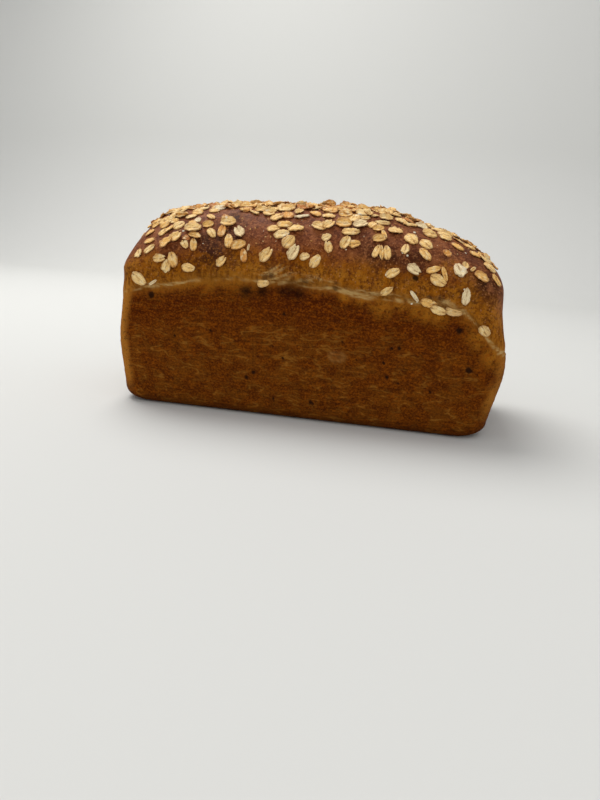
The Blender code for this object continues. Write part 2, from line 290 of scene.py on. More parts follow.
def on_crust(aim):
    """Pull points from the loaf's core through their aims on to the plain loaf's surface."""
    core = np.zeros_like(aim)
    core[:, 0] = np.clip(aim[:, 0], -CORE_HALF_LENGTH, CORE_HALF_LENGTH)
    core[:, 2] = CORE_HEIGHT
    ray = aim - core
    near = np.zeros(len(aim))
    far = np.full(len(aim), 3.0)
    for _ in range(HALVINGS):
        middle = (near + far) / 2
        point = core + ray * middle[:, None]
        inside = is_inside(point[:, 0], point[:, 1], point[:, 2])
        near = np.where(inside, middle, near)
        far = np.where(inside, far, middle)
    return core + ray * near[:, None]


def broad_relief(point):
    """How far the crust stands out from the plain loaf: its waves, tear, lip, swellings and dents."""
    x, y, z = point[:, 0], point[:, 1], point[:, 2]
    above = z - tear_height(x, y)
    wave = np.sin(x * 41.0 + 1.3) * np.sin(y * 63.0 + z * 30.0)
    wave = wave + FINE_WAVE_SHARE * np.sin(x * 88.0 + z * 70.0 + 0.4)
    left, right = half_lengths(TEAR_HEIGHT)
    end_share = np.abs(x) / np.where(x < 0.0, left, right)
    ragged = 1.0 - TEAR_UNEVENNESS * (1.0 - np.sin(x * 130.0 + y * 90.0))
    ragged = ragged * (1.0 - END_TEAR_CALM * smooth_step(CALM_FROM, CALM_TO, end_share))
    groove = TEAR_DEPTH * ragged * np.exp(-(above / TEAR_WIDTH) ** 2)
    lip = LIP_DEPTH * ragged * np.exp(-((above - LIP_RISE) / LIP_WIDTH) ** 2)
    height = WAVE_DEPTH * wave + lip - groove
    for place, radius, rise in UNEVEN_SPOTS:
        off = np.linalg.norm(point - np.array(place), axis=1)
        height = height + rise * np.exp(-(off / radius) ** 2)
    return height * smooth_step(FLAT_BELOW, UNEVEN_ABOVE, z)


def noise_at(points, stretch, shift=0.0):
    """Smooth noise from -1 to 1 at each point, its grain set by one scale for each axis."""
    scaled = points * np.array(stretch) + shift
    return np.array([noise.noise(Vector(p)) for p in scaled])


def row_height(step, tear):
    """Height of a row of the mesh: rows crowd on both sides of the tear line."""
    below = ROWS_BELOW_TEAR / (ROWS_BELOW_TEAR + ROWS_ABOVE_TEAR)
    low = np.minimum(step / below, 1.0)
    high = np.clip((step - below) / (1.0 - below), 0.0, 1.0)
    lower = (1.0 - TEAR_CROWDING) * low + TEAR_CROWDING * np.sin(low * math.pi / 2)
    upper = (1.0 - RIM_CROWDING) * high + RIM_CROWDING * high ** 2
    return tear * lower + (TOP_ROW_HEIGHT - tear) * upper


def mesh_of(shape, name):
    """The mesh of a shape that was put together face by face."""
    mesh = bpy.data.meshes.new(name)
    shape.to_mesh(mesh)
    shape.free()
    return mesh


def box_grid(cells):
    """A box cut into a fine grid of faces, two units wide each way."""
    grid = bmesh.new()
    bmesh.ops.create_cube(grid, size=2.0)
    for axis, count in enumerate(cells):
        edges = [e for e in grid.edges if abs(e.verts[0].co[axis] - e.verts[1].co[axis]) > 1.0]
        bmesh.ops.subdivide_edges(grid, edges=edges, cuts=count - 1, use_grid_fill=True)
    return mesh_of(grid, "crust")


def values_of(mesh_items, field):
    flat = np.empty(len(mesh_items) * 3, np.float32)
    mesh_items.foreach_get(field, flat)
    return flat.reshape(-1, 3).astype(float)


def set_corners(mesh, places):
    mesh.vertices.foreach_set("co", places.astype(np.float32).ravel())
    mesh.update()


def outward_of(mesh):
    return values_of(mesh.vertex_normals, "vector")


def store(mesh, name, values):
    attribute = mesh.attributes.new(name, "FLOAT", "POINT")
    attribute.data.foreach_set("value", values.astype(np.float32))


crust_mesh = box_grid((COLUMNS, DEEP_COLUMNS, ROWS_BELOW_TEAR + ROWS_ABOVE_TEAR))
box = values_of(crust_mesh.vertices, "co")
spread = np.sin(box[:, :2] * EDGE_CROWDING) / math.sin(EDGE_CROWDING)
left_reach, right_reach = half_lengths(SPRING_HEIGHT)
aim = np.empty_like(box)
aim[:, 0] = spread[:, 0] * np.where(box[:, 0] < 0.0, left_reach, right_reach)
aim[:, 1] = spread[:, 1] * BASE_WIDTH / 2
aim[:, 2] = row_height((box[:, 2] + 1.0) / 2, tear_height(aim[:, 0], aim[:, 1]))
plain = on_crust(aim)
set_corners(crust_mesh, plain)
smooth_outward = outward_of(crust_mesh)
shaped = plain + smooth_outward * broad_relief(plain)[:, None]
set_corners(crust_mesh, shaped)

above_tear = plain[:, 2] - tear_height(plain[:, 0], plain[:, 1])
off_floor = smooth_step(0.001, 0.008, plain[:, 2])
side = smooth_step(0.001, -0.004, above_tear)
grain = 0.7 * noise_at(plain, (170, 170, 170)) + 0.3 * noise_at(plain, (430, 430, 430), 7.0)
wander = noise_at(plain, (28, 28, 40), 3.0)
rippled = plain + np.outer(wander, (0.0, 0.0, WRINKLE_DRIFT))
wrinkle = noise_at(rippled, (62, 62, 400), 5.0) + 0.6 * noise_at(rippled, (130, 130, 800), 9.0)
wrinkle_strength = side * (0.45 + 0.55 * smooth_step(0.070, 0.045, plain[:, 2]))


def surface_through(corners):
    """The crust's faces through these corners, as a surface that lines can be followed on to."""
    return BVHTree.FromPolygons([Vector(v) for v in corners], [p.vertices[:] for p in crust_mesh.polygons])


def seen_on(surface, column, row):
    """The place of a surface that shows at a place of the picture, and the way it faces there."""
    return surface.ray_cast(CAMERA_PLACE, sight_line(column, row))[:2]


def spots(places):
    """1 at the middle of the nearest of the places, falling to 0 past its radius."""
    share = np.zeros(len(plain))
    for middle, radius in places:
        off = np.linalg.norm(plain - np.array(middle), axis=1)
        share = np.maximum(share, np.exp(-(off / radius) ** 2))
    return share


def seen_spots(marks):
    """The places and radii in metres of marks that are given by their place in the picture."""
    return tuple((seen_on(plain_surface, column, row)[0], radius / 1000) for column, row, radius in marks)


plain_surface = surface_through(plain)
stretched = np.zeros(len(plain))
for middle, reach in SHRED_PATCHES:
    off = (plain - np.array(middle)) / np.array(reach)
    stretched = np.maximum(stretched, np.exp(-(off ** 2).sum(axis=1)))
frayed = noise_at(plain, (90, 90, 90), 21.0)
shred_width = np.maximum(SHRED_WIDTH + SHRED_FRAY * frayed, NARROWEST_SHRED)
shred = np.exp(-((above_tear + 0.0002 - 0.0016 * frayed) / shred_width) ** 2)
shred = np.maximum(shred, stretched * smooth_step(-0.0015, 0.0005, above_tear))
warped = plain + np.outer(noise_at(plain, (60, 60, 60), 31.0), (0.004, 0.0, 0.006))
uneven_tear = 0.55 + 0.45 * smooth_step(-0.25, 0.25, noise_at(plain, (26, 26, 26), 51.0))
front_tear = np.interp(plain[:, 0], SHRED_ALONG, SHRED_STRENGTH)
shred = shred * np.where(plain[:, 1] < 0.0, front_tear, uneven_tear)
strands = noise_at(warped, (130, 130, 520), 13.0) + 0.7 * noise_at(warped, (420, 420, 800), 17.0)
fine = GRAIN_DEPTH * grain * (1.0 - side) + WRINKLE_DEPTH * wrinkle * wrinkle_strength
fine = fine + SHRED_DEPTH * strands * np.minimum(shred, 1.0)

chance = random.Random(CRUST_SEED)
pits = np.zeros(len(plain))
for _ in range(PIT_COUNT):
    centre = (chance.uniform(-PIT_REACH, PIT_REACH), chance.choice((-1, 1)) * PIT_OUT,
              chance.uniform(*PIT_HEIGHTS))
    radius = chance.uniform(*PIT_RADIUS)
    pits = np.maximum(pits, spots(((centre, radius),)) * chance.uniform(*PIT_STRENGTHS))
pits = np.maximum(pits, spots(seen_spots(FRONT_PITS)))
# The blister: a ring-shaped rise, whose ring also carries a painted highlight in the crust's colour
ring = np.linalg.norm((plain - np.array(BLISTER_PLACE)) / np.array(BLISTER_REACH), axis=1)
ring = ring * (1.0 + 0.28 * noise_at(plain, (190, 190, 190), 43.0))
blister = np.exp(-((ring - 1.0) / 0.30) ** 2) * (0.45 + 0.55 * noise_at(plain, (300, 300, 300), 41.0))
blister = blister + 0.3 * np.exp(-(ring / 0.6) ** 2)
fine = fine - PIT_DEPTH * pits + BLISTER_RISE * blister
set_corners(crust_mesh, shaped + outward_of(crust_mesh) * (fine * off_floor)[:, None])
crust_mesh.shade_smooth()

# Pale where the sides turn round to the ends: partly the ends' own paler bake, partly painted light on the
# left corner, which faces the lamp
corner_edge = 0.25 * noise_at(plain, (70, 70, 40), 71.0) + 0.12 * noise_at(plain, (260, 260, 160), 73.0)
turned = smooth_step(0.55, 0.25, np.abs(smooth_outward[:, 2])) * np.where(
    plain[:, 0] < 0.0, smooth_step(0.10, 0.60, -smooth_outward[:, 0] - 0.6 * corner_edge),
    smooth_step(0.45, 0.95, smooth_outward[:, 0] - corner_edge) * smooth_step(-0.052, -0.026, above_tear))
end_middle = smooth_step(0.049, 0.024, np.abs(plain[:, 1]))
store(crust_mesh, "above_tear", above_tear * 1000.0)
store(crust_mesh, "shred", np.clip(shred * (0.76 + 0.8 * strands), 0.0, 1.0))
store(crust_mesh, "torn", np.minimum(shred, 1.0))
store(crust_mesh, "pits", pits)
store(crust_mesh, "blister", blister)
# Painted shade in the dark hollows of the tear on the front
store(crust_mesh, "hollows", spots(seen_spots(FRONT_HOLLOW_SHADES)))
store(crust_mesh, "corner", turned * (1.0 - 0.88 * end_middle) * smooth_step(0.004, 0.02, plain[:, 2]))
# Scorched places at the back, and front scorches that are partly painted shade between the flakes and in
# the tear
store(crust_mesh, "scorch", spots(BACK_SCORCHES + seen_spots(FRONT_SCORCHES_AND_SHADE)))
store(crust_mesh, "golden", spots(BACK_GOLDENS + seen_spots(FRONT_GOLDENS)))
store(crust_mesh, "foot", smooth_step(0.010, 0.001, plain[:, 2]))


def tint(red, green, blue):
    """A finish's colour, given as 0 to 255 in the usual screen scale."""
    shares = [value / 255 for value in (red, green, blue)]
    return tuple(s / 12.92 if s <= 0.04045 else ((s + 0.055) / 1.055) ** 2.4 for s in shares) + (1.0,)


def set_inputs(node, inputs):
    """Sets a node's inputs to values, or links them from other nodes' outputs."""
    for name, value in inputs.items():
        if isinstance(value, bpy.types.NodeSocket):
            node.id_data.links.new(value, node.inputs[name])
        else:
            node.inputs[name].default_value = value


def add(tree, kind, inputs, **settings):
    """A node of a kind in the tree, with its inputs and settings."""
    made = tree.nodes.new(kind)
    for name, value in settings.items():
        setattr(made, name, value)
    set_inputs(made, inputs)
    return made


def math_of(operation, first, second=0.0, third=0.0):
    inputs = {0: first, 1: second, 2: third}
    return add(first.id_data, "ShaderNodeMath", inputs, operation=operation).outputs[0]


def product_of(first, *others):
    for other in others:
        first = math_of("MULTIPLY", first, other)
    return first


def sum_of(first, *others):
    for other in others:
        first = math_of("ADD", first, other)
    return first


def ranged(value, low, high, to_low=0.0, to_high=1.0):
    inputs = {"Value": value, "From Min": low, "From Max": high, "To Min": to_low, "To Max": to_high}
    return add(value.id_data, "ShaderNodeMapRange", inputs, interpolation_type="SMOOTHSTEP").outputs[0]


def blend_of(share, first, second):
    inputs = {0: share, 6: first, 7: second}
    return add(share.id_data, "ShaderNodeMix", inputs, data_type="RGBA").outputs[2]


def layered(colour, *layers):
    """The colour with shades laid over it in turn, each as far as all of its shares let it."""
    for shade, *shares in layers:
        colour = blend_of(product_of(*shares), colour, shade)
    return colour


def ramp_of(value, stops):
    made = add(value.id_data, "ShaderNodeValToRGB", {"Fac": value})
    while len(made.color_ramp.elements) < len(stops):
        made.color_ramp.elements.new(0.5)
    for element, (position, colour) in zip(made.color_ramp.elements, stops):
        element.position = position
        element.color = colour
    return made.outputs["Color"]


def noise_of(place, scale, detail=3.0, roughness=0.55):
    inputs = {"Vector": place, "Scale": scale, "Detail": detail, "Roughness": roughness}
    return add(place.id_data, "ShaderNodeTexNoise", inputs).outputs["Fac"]


def bumps_of(height, strength, distance):
    inputs = {"Height": height, "Strength": strength, "Distance": distance}
    return add(height.id_data, "ShaderNodeBump", inputs).outputs["Normal"]


def measure(tree, name, output="Fac"):
    return add(tree, "ShaderNodeAttribute", {}, attribute_name=name).outputs[output]


def stretched_place(place, scale):
    return add(place.id_data, "ShaderNodeMapping", {"Vector": place, "Scale": scale}).outputs["Vector"]


def new_finish(name):
    finish = bpy.data.materials.new(name)
    finish.use_nodes = True
    return finish, finish.node_tree, finish.node_tree.nodes["Principled BSDF"]


baked_crust, tree, shader = new_finish("baked_crust")
place = add(tree, "ShaderNodeTexCoord", {}).outputs["Object"]
above = measure(tree, "above_tear")
torn_edge = math_of("MULTIPLY_ADD", noise_of(place, 260, 5), 3.0, -1.5)
soft_edge = math_of("MULTIPLY_ADD", noise_of(place, 110, 8, 0.72), 34.0, -17.0)
fringe = noise_of(stretched_place(place, (420, 420, 70)), 1.0, 4)
hanging = math_of("MULTIPLY_ADD", fringe, 7.0, -3.5)
free_rise = ranged(above, 3.0, 12.0)
below_tear = product_of(ranged(above, 0.0, -2.0), ranged(above, -14.0, -5.0))
height_here = sum_of(above, torn_edge, product_of(soft_edge, free_rise),
                     product_of(hanging, below_tear))
zone = add(tree, "ShaderNodeMapRange",
           {"Value": height_here, "From Min": ZONE_LOW, "From Max": ZONE_HIGH}).outputs[0]


def at(millimetres):
    """Where a height over the tear line lies on the colour scale."""
    return (millimetres - ZONE_LOW) / (ZONE_HIGH - ZONE_LOW)


side_here = ranged(above, 0.0, -5.0)
low_side = ranged(above, -14.0, -36.0)
crown_here = ranged(above, 6.0, 16.0)
dark_crown = ranged(above, 15.0, 25.0)
risen = ranged(above, 1.0, 6.0)
golden_edge = ranged(noise_of(place, 240, 5, 0.7), 0.32, 0.56, 0.15, 0.85)
streaks = noise_of(stretched_place(place, (560, 560, 90)), 1.0, 3)
streaked = product_of(ranged(above, -5.0, 3.0), ranged(above, 20.0, 8.0))
mottle = noise_of(stretched_place(place, (700, 700, 900)), 1.0, 5, 0.8)
lines = noise_of(stretched_place(place, (110, 110, 520)), 1.0, 4, 0.6)
grainy = sum_of(product_of(mottle, 0.76), product_of(lines, 0.24))

drift = add(tree, "ShaderNodeTexNoise", {"Vector": place, "Scale": 90.0}).outputs["Color"]
bend = add(tree, "ShaderNodeVectorMath", {0: drift, "Scale": 0.006}, operation="SCALE").outputs["Vector"]
bent = add(tree, "ShaderNodeVectorMath", {0: place, 1: bend}, operation="ADD").outputs["Vector"]
curls = noise_of(stretched_place(bent, (46, 46, 210)), 1.0, 2, 0.5)
curl_line = ranged(math_of("ABSOLUTE", math_of("SUBTRACT", curls, 0.5)), 0.036, 0.0)
curl_patch = ranged(noise_of(place, 120, 3, 0.5), 0.40, 0.62)
curl_strength = ranged(low_side, 0.0, 1.0, 0.12, 0.38)

shredded = measure(tree, "shred")
strand = noise_of(stretched_place(bent, (150, 150, 760)), 1.0, 4, 0.65)
hollow_shade_edge = math_of("MULTIPLY_ADD", noise_of(place, 380, 4, 0.65), 0.9, -0.45)
hollow_shade_share = sum_of(measure(tree, "hollows"), hollow_shade_edge)
pit_shade_edge = math_of("MULTIPLY_ADD", noise_of(place, 520, 3, 0.6), 0.8, -0.4)
pit_shade = sum_of(measure(tree, "pits"), pit_shade_edge)

patches = noise_of(place, 34, 4, 0.6)
peel = noise_of(place, 560, 6, 0.8)
blotch = noise_of(place, 130, 6, 0.75)
light_blotch = blend_of(dark_crown, tint(146, 82, 6), tint(144, 86, 50))
light_peel = blend_of(dark_crown, tint(168, 102, 16), tint(174, 112, 66))
cells = add(tree, "ShaderNodeTexVoronoi", {"Vector": place, "Scale": 620.0})
cell_luck = add(tree, "ShaderNodeSeparateColor", {"Color": cells.outputs["Color"]}).outputs[0]
dots = product_of(ranged(cells.outputs["Distance"], 0.40, 0.12),
                  ranged(cell_luck, 0.2, 1.0), ranged(above, -6.0, 12.0, 0.05, 0.50))

# The browning by height, and the shades laid over it from the lowest to the topmost
browning = ramp_of(zone, (
    (at(-60), tint(92, 44, 3)), (at(-25), tint(92, 42, 2)), (at(-12), tint(83, 33, 1)),
    (at(-6), tint(78, 29, 1)), (at(-3.2), tint(112, 56, 8)), (at(-1.2), tint(134, 80, 22)),
    (at(0.5), tint(136, 90, 36)), (at(3.0), tint(130, 80, 24)), (at(6.5), tint(124, 70, 12)),
    (at(11), tint(124, 66, 6)), (at(16), tint(116, 54, 8)), (at(21), tint(118, 62, 30)),
    (at(40), tint(124, 70, 44))))
colour = layered(
    browning,
    # Partly painted light: paler where the sides turn to the ends, both the ends' paler bake and light on
    # the left corner
    (tint(184, 120, 42), measure(tree, "corner"), ranged(above, 30.0, 12.0, 0.0, 0.9)),
    (tint(170, 108, 28), measure(tree, "golden"), golden_edge),
    (tint(92, 44, 4), ranged(streaks, 0.52, 0.40, 0.0, 0.5), streaked),
    (tint(160, 104, 34), ranged(streaks, 0.52, 0.64, 0.0, 0.5), streaked),
    (tint(136, 70, 8), ranged(grainy, 0.50, 0.60), side_here, 0.8),
    (tint(48, 14, 1), ranged(grainy, 0.50, 0.40), side_here, 0.7),
    (tint(168, 114, 44), curl_line, curl_patch, curl_strength, side_here),
    (tint(142, 92, 30), low_side, curl_patch, 0.16),
    # Painted shade: darker between the pale strands in the tear
    (tint(86, 56, 26), ranged(shredded, 0.30, 0.05), measure(tree, "torn"), 0.5),
    (tint(186, 152, 96), ranged(shredded, 0.22, 0.90, 0.0, 0.95),
     ranged(strand, 0.36, 0.56, 0.30, 1.0)),
    # Painted shade: the dark hollows in the tear
    (tint(78, 52, 26), ranged(hollow_shade_share, 0.15, 0.75, 0.0, 0.75)),
    (tint(66, 34, 26), ranged(patches, 0.50, 0.66), crown_here, 0.55),
    # Partly painted shade: the dark scorch spots, which on the front also stand for shade between flakes
    # and in the tear
    (tint(26, 9, 3), measure(tree, "scorch"), ranged(patches, 0.2, 0.6, 0.6, 1.0), 0.9),
    (tint(124, 66, 38), ranged(patches, 0.46, 0.34), crown_here, 0.5),
    (tint(64, 26, 8), ranged(peel, 0.52, 0.40, 0.0, 0.75), risen),
    (light_blotch, ranged(blotch, 0.48, 0.62, 0.0, 0.6), risen),
    (tint(84, 38, 16), ranged(blotch, 0.48, 0.36, 0.0, 0.5), risen),
    (light_peel, ranged(peel, 0.52, 0.64, 0.0, 0.62), risen),
    (tint(186, 128, 84), dots),
    # Painted highlight: pale arcs on the blister's rim
    (tint(164, 116, 60), measure(tree, "blister"), 0.8),
    # Partly painted shade: the pits are darkened both as the crust's dark smudges and as shade in their
    # hollows
    (tint(30, 14, 6), ranged(pit_shade, 0.18, 0.66, 0.0, 0.9)),
    (tint(62, 26, 4), measure(tree, "foot"), 0.3))
gloss = noise_of(place, 120, 3)
dullness = sum_of(ranged(gloss, 0.3, 0.7, 0.46, 0.64), ranged(above, 20.0, 6.0, 0.0, 0.34))
skin = sum_of(product_of(noise_of(place, 700, 4, 0.6), 0.6),
              product_of(lines, side_here), product_of(dots, 0.5))
set_inputs(shader, {"Base Color": colour, "Roughness": dullness, "Specular IOR Level": 0.045,
                    "Normal": bumps_of(skin, 0.6, 0.0006)})

crust_mesh.materials.append(baked_crust)
crust = add_piece("crust", crust_mesh)
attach(crust, "root")
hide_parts("loaf")


# The oat flakes: steamed whole oats rolled flat, each a thin oval with a crease along it, pressed on
# to the wet dough before baking. They lie thick and overlapping on the crown and thin out down its
# slopes; some stand on edge, some are broken, floury or toasted orange.
FLAKE_LENGTH = (0.0078, 0.0098)
FLAKE_WIDTH_SHARE = (0.52, 0.68)
FLAKE_THICKNESS = 0.085
FLAKE_TILT = 14
FLAKE_GAP = 0.0088
EDGE_FLAKE_SHARE = 0.08
EDGE_FLAKE_TILT = 52
EDGE_FLAKE_SLOPE = 0.6
BARE_BELOW = 0.096
COVERED_ABOVE = 0.122
BARE_SPOT = Vector((-0.054, -0.036, 0.119))
BARE_SPOT_RADIUS = 0.014
FARTHEST_LEAN = 1.6
FLAKE_SEED = 4
MAIN_FLAKES = 136
FILL_FLAKES = 270
FILL_GAP = 0.0042
FILL_BARE_BELOW = 0.104
FILL_COVERED_ABOVE = 0.126
FILL_THINS = (0.03, 0.07)
FILL_THINNING = 0.55
GRAZING_SIGHT = 0.16
NEARLY_PLAIN_SIGHT = 0.50
PROPPING = 0.75
LEAST_SQUARENESS = 0.4
GRAZING_GROWTH = 0.30
FLAKE_BODY_RISE = 0.0006
FLAKE_GROWTH = 1.10
FRONT_WIDTH_SHARE = 0.58
FLAKE_CELLS = (8, 5)
TONE_SPREAD = 0.03

# How flakes lie on the crust and on one another
PILE_REACH = 0.0052
MOST_UNDER = 3
LYING_RISE = 0.00035
PILE_RISE = 0.0006
PILE_TILT = 0.12
PILE_GAP = 0.00022
FLAKE_SINK = 0.00020

# The kinds of flake, and the share of the tone scale at which each shade lies
KIND_COUNT = 7
KIND_SEED = 40
OVAL, NARROW, ROUND, CUPPED, BROKEN, SPLIT, SLIVER = range(KIND_COUNT)
FLOURY = 0.03
PALE = 0.18
HONEY = 0.34
GOLD = 0.55
BROWNED = 0.82
TOASTED = 0.94

